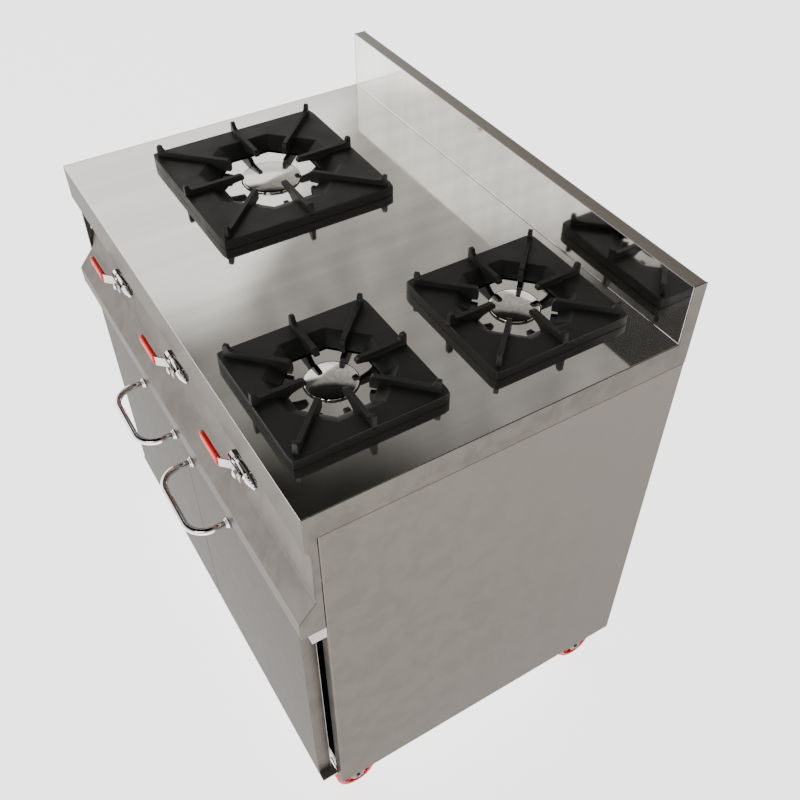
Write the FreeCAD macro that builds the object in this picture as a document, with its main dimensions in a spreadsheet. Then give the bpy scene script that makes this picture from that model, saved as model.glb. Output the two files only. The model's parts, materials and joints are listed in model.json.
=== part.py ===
import FreeCAD, Part
import math
import os

# Commercial gas range on castors: three burners, two doors, three ball valves.
# X runs left to right, Y front to rear, Z up from the floor; millimetres.
# Heights and depths in comments count from the floor and from the worktop's front edge.

os.makedirs("parts", exist_ok=True)
doc = FreeCAD.newDocument("gas_range")
V = FreeCAD.Vector

# ---------------------------------------------------------------- driving dimensions
sheet = doc.addObject("Spreadsheet::Sheet", "Dims")
DRIVING = [
    ("overall_width", 900), ("overall_depth", 605), ("top_height", 850), ("rim_height", 950),
    ("front_edge", -264.5), ("gauge", 1.5), ("body_bottom", 111.5), ("splash_depth", 23.3),
    ("strip_drop", 44), ("flange_drop", 62), ("frame_front", 18.6), ("back_inset", 20),
    ("door_gap", 31.5), ("door_bottom", 118), ("door_top", 600), ("door_front", -10),
    ("door_depth", 22.5), ("door_gauge", 1.2), ("hinge_inset", 39.5), ("hinge_behind", -2),
    ("pin_radius", 4), ("handle_height", 557), ("handle_reach", -70.25), ("handle_bar", 5.75),
    ("valve_height", 728), ("valve_pitch", 242), ("valve_depth", 9), ("manifold_drop", 6),
    ("support_top", 17), ("large_side", 306), ("small_side", 229),
    ("wheel_radius", 37.5), ("wheel_width", 25), ("castor_inset", 43), ("castor_trail", 20),
    ("castor_front", 42), ("castor_rear", 540),
]
for row, (alias, value) in enumerate(DRIVING, start=1):
    sheet.set(f"A{row}", alias)
    sheet.set(f"B{row}", str(value))
    sheet.setAlias(f"B{row}", alias)
doc.recompute()
D = {alias: float(sheet.get(alias)) for alias, _ in DRIVING}

HALF = D["overall_width"] / 2
INSIDE = HALF - D["gauge"]
TOP = D["top_height"]
RIM = D["rim_height"]
DEEP = D["overall_depth"]
GAUGE = D["gauge"]
BOTTOM = D["body_bottom"]
FACE = DEEP - D["splash_depth"]
SEAM = TOP - D["strip_drop"]
CHEEK_FOOT = 607.5
RECESS_TOP = 775
LEDGE_TOP = (8, 673)
LIP_TOP = (-20, 641)
STEMS = [-D["valve_pitch"], 0, D["valve_pitch"]]
VALVE_Z = D["valve_height"]
# centre X, centre depth, side and burner radius of each cooking place
PLACES = [(-226, 290, D["large_side"], 50), (265, 140, D["small_side"], 38), (265, 438, D["small_side"], 38)]
# centre X and depth of each burner's air mouth, and the height of the mixing tubes
MOUTHS = [(-226, 160), (265, 84), (160, 160)]
TUBE_Z = 812
# centre X of the burner bearers, beside the rising pipes
BEARERS = (-200, 276)
SCREWS = [150, 334]
SCREW_Z = 750
# pedal pivot: behind the swivel axis, above the floor
PEDAL_PIVOT = (12, 87)
# wall of the burner bowls, height of the flame ports, wall, plate and ribs of the pan supports
BOWL_WALL = 5
PORT_HEIGHT = 1.5
RIM_WALL = 7
PLATE = 6
RIB = 8
made = []


def y(depth):
    """Frame Y of a depth counted from the worktop's front edge."""
    return depth + D["front_edge"]


def keep(obj, label):
    """Mark an object as a sub-part under its node name."""
    obj.Label = label
    made.append(obj)
    return obj


def hide(obj):
    """Name a helper body so that it is not taken for a sub-part."""
    obj.Label = "help_" + obj.Name
    return obj


def feature(shape, label, position=V(0, 0, 0)):
    """A sub-part whose solids are made in code from the sheet's values."""
    obj = doc.addObject("Part::Feature", label)
    obj.Shape = shape
    obj.Placement = FreeCAD.Placement(position, FreeCAD.Rotation())
    return keep(obj, label)


def bound_box(label, size, corner):
    """A Part::Box whose size and corner are sheet expressions."""
    obj = doc.addObject("Part::Box", label)
    for prop, text in zip(("Length", "Width", "Height"), size):
        obj.setExpression(prop, text)
    for axis, text in zip("xyz", corner):
        obj.setExpression("Placement.Base." + axis, text)
    return obj


def block(x0, x1, d0, d1, z0, z1):
    """A plain block between two X, two depths and two heights."""
    return Part.makeBox(x1 - x0, d1 - d0, z1 - z0, V(x0, y(d0), z0))


def rod(radius, start, end):
    """A round rod between two points given as (x, depth, z)."""
    a = V(start[0], y(start[1]), start[2])
    b = V(end[0], y(end[1]), end[2])
    return Part.makeCylinder(radius, (b - a).Length, a, b - a)


def ring(radius, x, depth, z0, z1):
    """An upright cylinder."""
    return rod(radius, (x, depth, z0), (x, depth, z1))


def prism_x(points, x0, x1):
    """A (depth, z) outline drawn out along X."""
    wire = Part.makePolygon([V(x0, y(d), z) for d, z in points + points[:1]])
    return Part.Face(wire).extrude(V(x1 - x0, 0, 0))


def prism_y(points, d0, d1):
    """An (x, z) outline drawn out along the depth."""
    wire = Part.makePolygon([V(x, y(d0), z) for x, z in points + points[:1]])
    return Part.Face(wire).extrude(V(0, d1 - d0, 0))


def hexagon(flats, x, z):
    """The corners of a hexagon in the X-Z plane."""
    radius = flats / math.sqrt(3)
    turns = [k * math.pi / 3 for k in range(6)]
    return [(x + radius * math.cos(t), z + radius * math.sin(t)) for t in turns]


def both(function):
    """A right-hand shape and its mirror image, as {side name: shape}."""
    right = function()
    return {"left": right.mirror(V(0, 0, 0), V(1, 0, 0)), "right": right}


def folded(points, gauge):
    """The closed outline of a sheet folded along a line of points, thickened to its left."""
    def shifted(a, b):
        ux, uz = b[0] - a[0], b[1] - a[1]
        length = math.hypot(ux, uz)
        nx, nz = -uz / length * gauge, ux / length * gauge
        return (a[0] + nx, a[1] + nz), (b[0] + nx, b[1] + nz)

    runs = [shifted(a, b) for a, b in zip(points, points[1:])]
    inner = [runs[0][0]]
    for (a, b), (c, d) in zip(runs, runs[1:]):
        det = (b[0] - a[0]) * (d[1] - c[1]) - (b[1] - a[1]) * (d[0] - c[0])
        t = ((c[0] - a[0]) * (d[1] - c[1]) - (c[1] - a[1]) * (d[0] - c[0])) / det
        inner.append((a[0] + t * (b[0] - a[0]), a[1] + t * (b[1] - a[1])))
    inner.append(runs[-1][1])
    return list(points) + inner[::-1]


# ---------------------------------------------------------------- PartDesign helpers
def origin_plane(body, role):
    return [f for f in body.Origin.OriginFeatures if f.Role == role][0]


def sketch_on(body, role, name):
    sketch = body.newObject("Sketcher::SketchObject", name)
    sketch.AttachmentSupport = (origin_plane(body, role), [""])
    sketch.MapMode = "FlatFace"
    return sketch


def outline(sketch, points):
    """Closed line loop in a sketch's own axes."""
    for a, b in zip(points, points[1:] + points[:1]):
        sketch.addGeometry(Part.LineSegment(V(a[0], a[1], 0), V(b[0], b[1], 0)), False)


def long_body(label, points, length_text, start_text):
    """A (depth, z) outline padded along X as a PartDesign body."""
    body = doc.addObject("PartDesign::Body", label)
    sketch = sketch_on(body, "YZ_Plane", label + "_outline")
    outline(sketch, [(y(d), z) for d, z in points])
    pad = body.newObject("PartDesign::Pad", label + "_pad")
    pad.Profile = sketch
    pad.setExpression("Length", length_text)
    body.setExpression("Placement.Base.x", start_text)
    doc.recompute()
    return body


def drill(body, role, circles, label):
    """Round holes right through a body, square to one of its planes."""
    before = body.Shape.Volume
    sketch = sketch_on(body, role, label + "_sketch")
    for u, w, radius in circles:
        sketch.addGeometry(Part.Circle(V(u, w, 0), V(0, 0, 1), radius), False)
    pocket = body.newObject("PartDesign::Pocket", label)
    pocket.Profile = sketch
    pocket.Type = "ThroughAll"
    pocket.Midplane = True
    doc.recompute()
    if body.Shape.Volume >= before - 1:
        raise RuntimeError(label + " cuts nothing")


FULL = "Dims.overall_width - 2 * Dims.gauge"
FROM_LEFT = "-Dims.overall_width / 2 + Dims.gauge"


# ---------------------------------------------------------------- sheet-metal housing
def worktop():
    """Top sheet, folded up at the rear into the splash face, with three burner holes."""
    points = [(0, TOP - GAUGE), (FACE + GAUGE, TOP - GAUGE), (FACE + GAUGE, RIM - GAUGE)]
    points += [(FACE, RIM - GAUGE), (FACE, TOP), (0, TOP)]
    body = long_body("worktop_sheet", points, FULL, FROM_LEFT)
    holes = [(x + INSIDE, y(depth), radius + 0.5) for x, depth, _, radius in PLACES]
    drill(body, "XY_Plane", holes, "burner_holes")
    keep(body, "worktop_sheet")


def splashback():
    """Rim and back of the splashback, turned in at the foot."""
    line = [(FACE, RIM), (DEEP, RIM), (DEEP, SEAM - 4), (DEEP - 14, SEAM - 4)]
    keep(long_body("splashback_shell", folded(line[::-1], GAUGE), FULL, FROM_LEFT), "splashback_shell")


def end_cheeks():
    """One plate per end: worktop strip, splashback end and control end."""
    points = [(DEEP, RIM), (FACE, RIM), (FACE, TOP), (0, TOP), (0, TOP - D["flange_drop"])]
    points += [(9, RECESS_TOP), LEDGE_TOP, LIP_TOP, (LIP_TOP[0], CHEEK_FOOT)]
    points += [(17.9, CHEEK_FOOT), (17.9, SEAM), (DEEP, SEAM)]
    starts = (("left", "-Dims.overall_width / 2"), ("right", "Dims.overall_width / 2 - Dims.gauge"))
    for side, start in starts:
        label = "end_cheek_" + side
        keep(long_body(label, points, "Dims.gauge", start), label)


def front_flange():
    """Front edge of the worktop, folded in at its foot, with a long round-cornered opening below."""
    line = [(0, TOP - GAUGE), (0, TOP - D["flange_drop"]), (9, RECESS_TOP), (8.1, LEDGE_TOP[1] + 7.5)]
    body = hide(long_body("flange_fold", folded(line, GAUGE), FULL, FROM_LEFT))
    margin, corner = 3, 18
    reach = INSIDE - margin
    opening = block(-reach, reach, 4, 16, LEDGE_TOP[1] - 30, RECESS_TOP - 0.5)
    through = [e for e in opening.Edges if abs(e.Vertexes[0].Y - e.Vertexes[-1].Y) > 5]
    upper = [e for e in through if e.Vertexes[0].Z > TOP - 100]
    tool = doc.addObject("Part::Feature", "flange_opening")
    tool.Shape = opening.makeFillet(corner, upper)
    hide(tool)
    cut = doc.addObject("Part::Cut", "front_flange")
    cut.Base = body
    cut.Tool = tool
    keep(cut, "front_flange")


def control_panel():
    """Recess back, ledge, lip and the lip's return under the valves."""
    foot = CHEEK_FOOT + 1
    line = [(34, TOP - GAUGE), (34, 784), LEDGE_TOP, LIP_TOP, (LIP_TOP[0], foot), (18.5, foot)]
    body = long_body("control_panel", folded(line, GAUGE), FULL, FROM_LEFT)
    holes = []
    for stem in STEMS:
        holes.append((stem + INSIDE, VALVE_Z - D["manifold_drop"], 7))
        holes.append((stem + INSIDE + 6, VALVE_Z + 8.5, 4.2))
    holes += [(x + INSIDE, SCREW_Z, 1.8) for x in SCREWS]
    drill(body, "XZ_Plane", holes, "valve_holes")
    keep(body, "control_panel")


def side_panels():
    """Cabinet sides, each with a narrow return across the front."""
    for side, sign in (("left", -1), ("right", 1)):
        label = "side_panel_" + side
        body = doc.addObject("PartDesign::Body", label)
        sketch = sketch_on(body, "XY_Plane", label + "_outline")
        front = D["frame_front"]
        points = [(HALF, y(front)), (HALF, y(DEEP - GAUGE)), (INSIDE, y(DEEP - GAUGE))]
        points += [(INSIDE, y(front + GAUGE)), (HALF - 20, y(front + GAUGE)), (HALF - 20, y(front))]
        outline(sketch, [(sign * u, w) for u, w in points])
        pad = body.newObject("PartDesign::Pad", label + "_pad")
        pad.Profile = sketch
        pad.setExpression("Length", "Dims.top_height - Dims.strip_drop - 0.6 - Dims.body_bottom")
        body.setExpression("Placement.Base.z", "Dims.body_bottom")
        hide(body)
        corner = "Dims.overall_width / 2 - 21" if sign > 0 else "-Dims.overall_width / 2 + Dims.gauge"
        notch = bound_box(label + "_notch", ("21 - Dims.gauge", "12", "Dims.top_height"),
                          (corner, "Dims.front_edge + Dims.frame_front - 5", str(CHEEK_FOOT - 0.5)))
        hide(notch)
        cut = doc.addObject("Part::Cut", label + "_cut")
        cut.Base = body
        cut.Tool = notch
        keep(cut, label)


def flat_panels():
    """Back, header rail and base of the cabinet."""
    back = bound_box("back_panel", (FULL, "Dims.gauge", "Dims.top_height - Dims.gauge - Dims.body_bottom"),
                     (FROM_LEFT, "Dims.front_edge + Dims.overall_depth - Dims.back_inset - Dims.gauge",
                      "Dims.body_bottom"))
    keep(back, "back_panel")
    rail = bound_box("header_rail", ("Dims.overall_width - 40.2", "20", "26"),
                     ("-Dims.overall_width / 2 + 20.1", "Dims.front_edge + Dims.frame_front",
                      "Dims.door_top - 16"))
    keep(rail, "header_rail")
    back_depth = DEEP - D["back_inset"] - GAUGE
    line = [(24, BOTTOM + 26), (24, BOTTOM), (back_depth, BOTTOM), (back_depth, BOTTOM + 26)]
    keep(long_body("base_panel", folded(line, GAUGE), FULL, FROM_LEFT), "base_panel")


def bearers():
    """Two inverted channels front to back that carry the burners."""
    back_depth = DEEP - D["back_inset"] - GAUGE
    shapes = []
    for x in BEARERS:
        outer = block(x - 20, x + 20, 34 + GAUGE, back_depth, 766, 786)
        shapes.append(outer.cut(block(x - 18.5, x + 18.5, 34, back_depth + 1, 765, 784.5)))
    feature(Part.makeCompound(shapes), "burner_bearers")


# ---------------------------------------------------------------- gas train
def manifold():
    """Gas pipe across the front with its branch to the rear connection."""
    height = VALVE_Z - D["manifold_drop"]
    pipe = rod(9, (-400, 60, height), (410, 60, height))
    pipe = pipe.fuse(rod(9, (400, 60, height), (400, 588, height)))
    pipe = pipe.fuse(rod(10.5, (400, 586, height), (400, 603, height)))
    pipe = pipe.fuse(rod(9, (400, 60, height), (400, 60, height + 9)))
    for stem in STEMS:
        pipe = pipe.fuse(rod(9.8, (stem - 14, 60, height), (stem + 14, 60, height)))
    return pipe.cut(rod(7, (400, 62, height), (400, 604, height)))


def valve(stem):
    """Ball valve: hexagon end, round body, tapered tail, neck for the stem, rear spigot."""
    depth = D["valve_depth"]
    body = rod(9, (stem - 16, depth, VALVE_Z), (stem + 14, depth, VALVE_Z))
    points = [V(stem - 37, y(depth) + 9 * math.cos(k * math.pi / 3), VALVE_Z + 9 * math.sin(k * math.pi / 3))
              for k in range(7)]
    body = body.fuse(Part.Face(Part.makePolygon(points)).extrude(V(13, 0, 0)))
    body = body.fuse(rod(6.5, (stem - 24, depth, VALVE_Z), (stem - 15, depth, VALVE_Z)))
    tail = Part.makeCone(8, 3.5, 22, V(stem + 18, y(depth), VALVE_Z), V(1, 0, 0))
    body = body.fuse(tail).fuse(rod(6, (stem + 13, depth, VALVE_Z), (stem + 19, depth, VALVE_Z)))
    body = body.fuse(rod(6, (stem, depth, VALVE_Z), (stem, -0.2, VALVE_Z)))
    body = body.cut(rod(5, (stem - 38, depth, VALVE_Z), (stem - 26, depth, VALVE_Z)))
    spigot_z = VALVE_Z - D["manifold_drop"]
    reach = 60 - math.sqrt(9.8 ** 2 - 6 ** 2)
    body = body.fuse(rod(5, (stem, depth, spigot_z + 2), (stem, reach - 6, spigot_z)))
    body = body.fuse(rod(6, (stem, 24, spigot_z), (stem, reach, spigot_z)))
    body = body.cut(rod(9.8, (stem - 15, 60, spigot_z), (stem + 15, 60, spigot_z)))
    return body.cut(rod(4.06, (stem, 4, VALVE_Z), (stem, -1, VALVE_Z)))


def stem_and_nut(stem):
    """Turning stem with the nut that clamps the lever."""
    shape = rod(4, (stem, 3.6, VALVE_Z), (stem, -8, VALVE_Z))
    shape = shape.fuse(prism_y(hexagon(11, stem, VALVE_Z), -7.2, -3))
    return shape


def lever(stem):
    """Joggled steel lever, pointing left at rest."""
    half_height = 8.5
    line = [(12, -1), (-20, -1), (-32, -13), (-94, -13)]
    wire = [V(stem + u, y(w), VALVE_Z - half_height) for u, w in folded(line[::-1], -2)]
    plate = Part.Face(Part.makePolygon(wire + wire[:1])).extrude(V(0, 0, 2 * half_height))
    return plate.cut(rod(4.05, (stem, 5, VALVE_Z), (stem, -12, VALVE_Z)))


def sleeve(stem):
    """Soft grip slipped over the lever's blade."""
    outer = block(stem - 97, stem - 34, -18.6, -9.4, VALVE_Z - 9.6, VALVE_Z + 9.6)
    outer = outer.makeFillet(3.2, outer.Edges)
    return outer.cut(block(stem - 94, stem - 30, -15, -13, VALVE_Z - 8.5, VALVE_Z + 8.5))


def gas_train():
    feature(manifold(), "gas_manifold")
    pipes, injectors = [], []
    fed = [MOUTHS[0], MOUTHS[2], MOUTHS[1]]
    for index, (stem, (mouth_x, mouth_depth)) in enumerate(zip(STEMS, fed), start=1):
        name = str(index)
        feature(valve(stem), "valve_body_" + name)
        feature(stem_and_nut(stem), "valve_stem_" + name)
        feature(lever(stem), "lever_plate_" + name)
        feature(sleeve(stem), "lever_sleeve_" + name)
        high = VALVE_Z + 8.5
        turn = mouth_depth - 28
        path = [(stem + 6, 18, high), (stem + 6, turn, high), (stem + 6, turn, TUBE_Z)]
        path += [(mouth_x, turn, TUBE_Z), (mouth_x, mouth_depth - 14, TUBE_Z)]
        pipe = rod(3.2, path[0], path[1])
        for a, b in zip(path[1:], path[2:]):
            pipe = pipe.fuse(rod(3.2, a, b))
        for point in path[1:-1]:
            pipe = pipe.fuse(Part.makeSphere(3.2, V(point[0], y(point[1]), point[2])))
        pipes.append(pipe.cut(feature_shape("valve_body_" + name)))
        tip = rod(6, (mouth_x, mouth_depth - 14, TUBE_Z), (mouth_x, mouth_depth - 4, TUBE_Z))
        injectors.append(tip.fuse(rod(3, (mouth_x, mouth_depth - 4, TUBE_Z), (mouth_x, mouth_depth, TUBE_Z))))
    feature(Part.makeCompound(pipes), "burner_pipes")
    feature(Part.makeCompound(injectors), "burner_injectors")


def feature_shape(label):
    return [o for o in made if o.Label == label][0].Shape


# ---------------------------------------------------------------- burners and pan supports
def burner(x, depth, radius, mouth):
    """Cast burner: gas bowl flush with the worktop, mixing tube and bell mouth."""
    bowl = ring(radius, x, depth, 800, TOP)
    bowl = bowl.fuse(Part.makeCone(radius * 0.55, radius, 14, V(x, y(depth), 786)))
    bowl = bowl.cut(ring(radius - BOWL_WALL, x, depth, 806, TOP + 1))
    start = V(mouth[0], y(mouth[1]), TUBE_Z)
    run = V(x, y(depth), TUBE_Z) - start
    run = run * ((run.Length - radius * 0.7) / run.Length)
    tube = Part.makeCylinder(11, run.Length, start, run)
    bell = Part.makeCone(15, 11, 16, start, run)
    inside = Part.makeCylinder(8.5, run.Length + 4, start, run)
    mouth_cut = Part.makeCone(13, 8.5, 14, start, run)
    body = bowl.fuse(tube).fuse(bell)
    return body.cut(inside).cut(mouth_cut)


def cap(x, depth, radius):
    """Burner cap: low flat disc with a slotted skirt and a ring that locates in the bowl."""
    edge = radius - 1
    shape = ring(edge, x, depth, TOP + PORT_HEIGHT, TOP + 3)
    shape = shape.fuse(Part.makeCone(edge, edge - 3, 1, V(x, y(depth), TOP + 3)))
    skirt = ring(edge, x, depth, TOP, TOP + PORT_HEIGHT)
    skirt = skirt.cut(ring(radius - BOWL_WALL, x, depth, TOP - 1, TOP + PORT_HEIGHT + 1))
    for k in range(12):
        slot = Part.makeBox(2 * radius, 2.4, PORT_HEIGHT, V(0, -1.2, TOP))
        slot.rotate(V(0, 0, 0), V(0, 0, 1), k * 30 + 15)
        slot.translate(V(x, y(depth), 0))
        skirt = skirt.cut(slot)
    locate = ring(radius - 6, x, depth, TOP - 4, TOP + PORT_HEIGHT)
    locate = locate.cut(ring(radius - 9, x, depth, TOP - 5, TOP + PORT_HEIGHT))
    return shape.fuse(skirt).fuse(locate)


def octagon(across, height):
    radius = across / 2 / math.cos(math.pi / 8)
    turns = [(k + 0.5) * math.pi / 4 for k in range(9)]
    return Part.makePolygon([V(radius * math.cos(t), radius * math.sin(t), height) for t in turns])


def pan_support(side):
    """Square cast-iron grid lying on the worktop: plate, rim, octagonal well and eight ribs."""
    up = D["support_top"]
    half = side / 2
    well, mouth, wall, low = 0.72 * side, 0.54 * side, 3, 2
    plate = Part.makeBox(side, side, up, V(-half, -half, 0))
    upright = [e for e in plate.Edges if abs(e.Vertexes[0].Z - e.Vertexes[1].Z) > up / 2]
    plate = plate.makeFillet(3, upright)
    room = side - 2 * RIM_WALL
    plate = plate.cut(Part.makeBox(room, room, up - PLATE, V(-room / 2, -room / 2, 0)))
    slope = (well - mouth) / (up - low)
    outer = Part.makeLoft([octagon(well + 2 * wall, up), octagon(mouth + 2 * wall, low)], True)
    inner = Part.makeLoft([octagon(well + slope, up + 1), octagon(mouth - slope, low - 1)], True)
    shape = plate.fuse(outer).cut(inner)
    for k in range(8):
        corner = k % 2 == 1
        reach = half * math.sqrt(2) - 14 if corner else half
        start = 0.23 * side if corner else 0.16 * side
        crest = up + 8.5
        points = [(start, low + 3 if corner else up - 1), (start + 5, crest), (reach - 9, crest), (reach - 7, crest + 9.5)]
        points += [(reach, crest + 9.5), (reach, up - 4), (well / 2 + 2, up - 4), (mouth / 2 + 4, low + 3)]
        if not corner:
            points += [(mouth / 2 - 4, up - 6)]
        wire = Part.makePolygon([V(r, -RIB / 2, h) for r, h in points + points[:1]])
        rib = Part.Face(wire).extrude(V(0, RIB, 0))
        rib.rotate(V(0, 0, 0), V(0, 0, 1), k * 45)
        shape = shape.fuse(rib)
    return shape


def cooking_places():
    for index, ((x, depth, side, radius), mouth) in enumerate(zip(PLACES, MOUTHS), start=1):
        name = str(index)
        feature(burner(x, depth, radius, mouth), "burner_body_" + name)
        feature(cap(x, depth, radius), "burner_cap_" + name)
        feature(pan_support(side), "pan_support_" + name, V(x, y(depth), TOP))


# ---------------------------------------------------------------- doors
def door_skins():
    """Door pans: front sheet with four returned edges and a hole for each pivot pin."""
    tall = "Dims.door_top - Dims.door_bottom"
    wide = HALF - D["door_gap"] - 1.5
    for side, sign in (("left", -1), ("right", 1)):
        label = "door_skin_" + side
        body = doc.addObject("PartDesign::Body", label)
        sketch = sketch_on(body, "XY_Plane", label + "_outline")
        front, rear = y(D["door_front"]), y(D["door_front"] + D["door_depth"])
        near, far = sign * 1.5, sign * (1.5 + wide)
        outline(sketch, [(near, front), (far, front), (far, rear), (near, rear)])
        pad = body.newObject("PartDesign::Pad", label + "_pad")
        pad.Profile = sketch
        pad.setExpression("Length", tall)
        inner = sketch_on(body, "XZ_Plane", label + "_hollow")
        gauge = D["door_gauge"]
        high = D["door_top"] - D["door_bottom"]
        outline(inner, [(sign * (1.5 + gauge), gauge), (sign * (1.5 + wide - gauge), gauge),
                        (sign * (1.5 + wide - gauge), high - gauge), (sign * (1.5 + gauge), high - gauge)])
        inner.AttachmentOffset = FreeCAD.Placement(V(0, 0, -(front + gauge)), FreeCAD.Rotation())
        pocket = body.newObject("PartDesign::Pocket", label + "_pocket")
        pocket.Profile = inner
        pocket.Type = "ThroughAll"
        doc.recompute()
        if body.Shape.Volume > wide * high * D["door_depth"] * 0.5:
            pocket.Reversed = True
        body.setExpression("Placement.Base.z", "Dims.door_bottom")
        doc.recompute()
        pivot = sign * (HALF - D["hinge_inset"])
        drill(body, "XY_Plane", [(pivot, y(D["hinge_behind"]), D["pin_radius"] + 0.05)], label + "_pivots")
        keep(body, label)


def door_liners():
    """Inner door sheets with a strike plate for the magnet."""
    def right():
        depth = D["door_front"] + D["door_depth"]
        plate = block(1.5, HALF - D["door_gap"], depth, depth + GAUGE, D["door_bottom"], D["door_top"])
        strike = block(14, 54, depth + GAUGE, depth + GAUGE + 1, D["door_top"] - 29, D["door_top"] - 17)
        return plate.fuse(strike)
    for side, shape in both(right).items():
        feature(shape, "door_liner_" + side)


def handle():
    """Bent round bar with a collar at each foot; the right-hand one."""
    bend, bar = 34, D["handle_bar"]
    height, front = D["handle_height"], D["door_front"]
    x0, x1, reach = 36, 181, D["handle_reach"]
    shoulder = bend * (1 - math.sqrt(0.5))

    def at(x, depth):
        return V(x, y(depth), height)

    wire = Part.Wire([
        Part.LineSegment(at(x0, front), at(x0, reach + bend)).toShape(),
        Part.Arc(at(x0, reach + bend), at(x0 + shoulder, reach + shoulder), at(x0 + bend, reach)).toShape(),
        Part.LineSegment(at(x0 + bend, reach), at(x1 - bend, reach)).toShape(),
        Part.Arc(at(x1 - bend, reach), at(x1 - shoulder, reach + shoulder), at(x1, reach + bend)).toShape(),
        Part.LineSegment(at(x1, reach + bend), at(x1, front)).toShape(),
    ])
    ring_wire = Part.Wire([Part.makeCircle(bar, at(x0, front), V(0, -1, 0))])
    shape = wire.makePipeShell([ring_wire], True, True)
    for x in (x0, x1):
        shape = shape.fuse(rod(9, (x, front, height), (x, front - 4, height)))
        shape = shape.fuse(rod(7.5, (x, front - 4, height), (x, front - 7, height)))
    return shape


def hinge_brackets():
    """Block and tongue at the top and bottom outer corner of each door, with pivot pins."""
    def right():
        pivot_x, pivot_d = HALF - D["hinge_inset"], D["hinge_behind"]
        top = block(424.5, 449, -4, D["frame_front"], 583, 606)
        top = top.fuse(block(403, 430, -9, 6, 602, 606))
        top = top.fuse(ring(D["pin_radius"], pivot_x, pivot_d, 592, 602))
        foot = block(403, 432, -9, D["frame_front"], 112, 116)
        foot = foot.fuse(ring(D["pin_radius"], pivot_x, pivot_d, 116, 126))
        return Part.makeCompound([top, foot])
    for side, shape in both(right).items():
        feature(shape, "hinge_brackets_" + side)


def door_hardware():
    for side, shape in both(handle).items():
        feature(shape, "door_handle_" + side)
    magnets = [block(x, x + 36, 15.8, 34, 572, 584) for x in (-52, 16)]
    feature(Part.makeCompound(magnets), "door_magnets")
    screws = []
    for x in SCREWS:
        head = rod(3.4, (x, 22.2, SCREW_Z), (x, 24.6, SCREW_Z))
        screws.append(head.fuse(rod(1.6, (x, 24, SCREW_Z), (x, 38, SCREW_Z))))
    return screws


# ---------------------------------------------------------------- castors
def castor_spots():
    x = HALF - D["castor_inset"]
    front, rear = D["castor_front"], D["castor_rear"]
    spots = [("front_left", -x, front), ("front_right", x, front)]
    return spots + [("rear_left", -x, rear), ("rear_right", x, rear)]


def castor_plate(x, depth):
    """Mounting plate, race cup and kingpin."""
    shape = block(x - 30, x + 30, max(depth - 34, 24.0), min(depth + 34, 583.0), BOTTOM - 3, BOTTOM)
    shape = shape.fuse(ring(16.5, x, depth, 98, BOTTOM - 2))
    return shape.fuse(ring(6, x, depth, 84, 99)).fuse(ring(9, x, depth, 79, 84.6))


def fork(x, depth):
    """Swivelling fork with its axle."""
    trail, radius = D["castor_trail"], D["wheel_radius"]
    gap = D["wheel_width"] / 2 + 1
    head = ring(16.5, x, depth, 88, 97.6)
    bridge = block(x - gap - 3, x + gap + 3, depth - 17, depth + 19, 85, 89)
    shape = head.fuse(bridge)
    leg = [(depth - 17, 89), (depth + 19, 89), (depth + trail + 12, 44), (depth + trail + 9, 28)]
    leg += [(depth + trail - 9, 28), (depth - 14, 76)]
    for x0 in (x - gap - 3, x + gap):
        shape = shape.fuse(prism_x(leg, x0, x0 + 3))
    for reach, along, height in ((4, depth + trail, radius), (3, depth + PEDAL_PIVOT[0], PEDAL_PIVOT[1])):
        shape = shape.fuse(rod(reach, (x - gap - 6, along, height), (x - gap - 2, along, height)))
        shape = shape.fuse(rod(reach, (x + gap + 2, along, height), (x + gap + 6, along, height)))
    shape = shape.fuse(rod(4, (x - gap - 1, depth + trail, radius), (x + gap + 1, depth + trail, radius)))
    return shape.cut(ring(6.06, x, depth, 80, 98))


def wheel(x, depth):
    """Solid wheel: rounded tread, sunk web and hub, bored for the axle."""
    radius, half = D["wheel_radius"], D["wheel_width"] / 2
    centre = depth + D["castor_trail"]
    shape = rod(radius, (x - half, centre, radius), (x + half, centre, radius))
    rims = [e for e in shape.Edges if abs(e.Length - 2 * math.pi * radius) < 1]
    shape = shape.makeFillet(4, rims)
    for a, b in ((x - half - 1, x - 5), (x + 5, x + half + 1)):
        groove = rod(26, (a, centre, radius), (b, centre, radius))
        groove = groove.cut(rod(11, (a, centre, radius), (b, centre, radius)))
        shape = shape.cut(groove)
    return shape.cut(rod(4.06, (x - half - 1, centre, radius), (x + half + 1, centre, radius)))


def brake_pedal(x, depth):
    """Brake pedal behind the wheel, clipped over the rear edges of the fork."""
    rear = depth + 19
    inner = D["wheel_width"] / 2 + 4.4
    wide = inner + 2
    pad = prism_x([(rear + 13, 92), (rear + 17, 92), (rear + 40, 74), (rear + 38, 71)], x - wide, x + wide)
    tail = [(rear + 6, 84), (rear + 6, 92), (rear + 17, 92), (rear + 17, 88)]
    shape = pad.fuse(prism_x(tail, x - wide, x + wide))
    pivot, height = depth + PEDAL_PIVOT[0], PEDAL_PIVOT[1]
    for x0 in (x - wide, x + inner):
        shape = shape.fuse(block(x0, x0 + 2, pivot, rear + 7, height - 4, height + 5))
        shape = shape.fuse(rod(5, (x0, pivot, height), (x0 + 2, pivot, height)))
    return shape.cut(rod(3.06, (x - wide - 1, pivot, height), (x + wide + 1, pivot, height)))


def castors():
    feature(Part.makeCompound([castor_plate(x, d) for _, x, d in castor_spots()]), "castor_plates")
    for name, x, depth in castor_spots():
        feature(fork(x, depth), "castor_fork_" + name)
        feature(wheel(x, depth), "castor_wheel_" + name)
        feature(brake_pedal(x, depth), "brake_pedal_" + name)


worktop()
splashback()
end_cheeks()
front_flange()
control_panel()
side_panels()
flat_panels()
bearers()
gas_train()
cooking_places()
door_skins()
door_liners()
hinge_brackets()
feature(Part.makeCompound(door_hardware()), "panel_screws")
castors()
doc.recompute()

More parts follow.
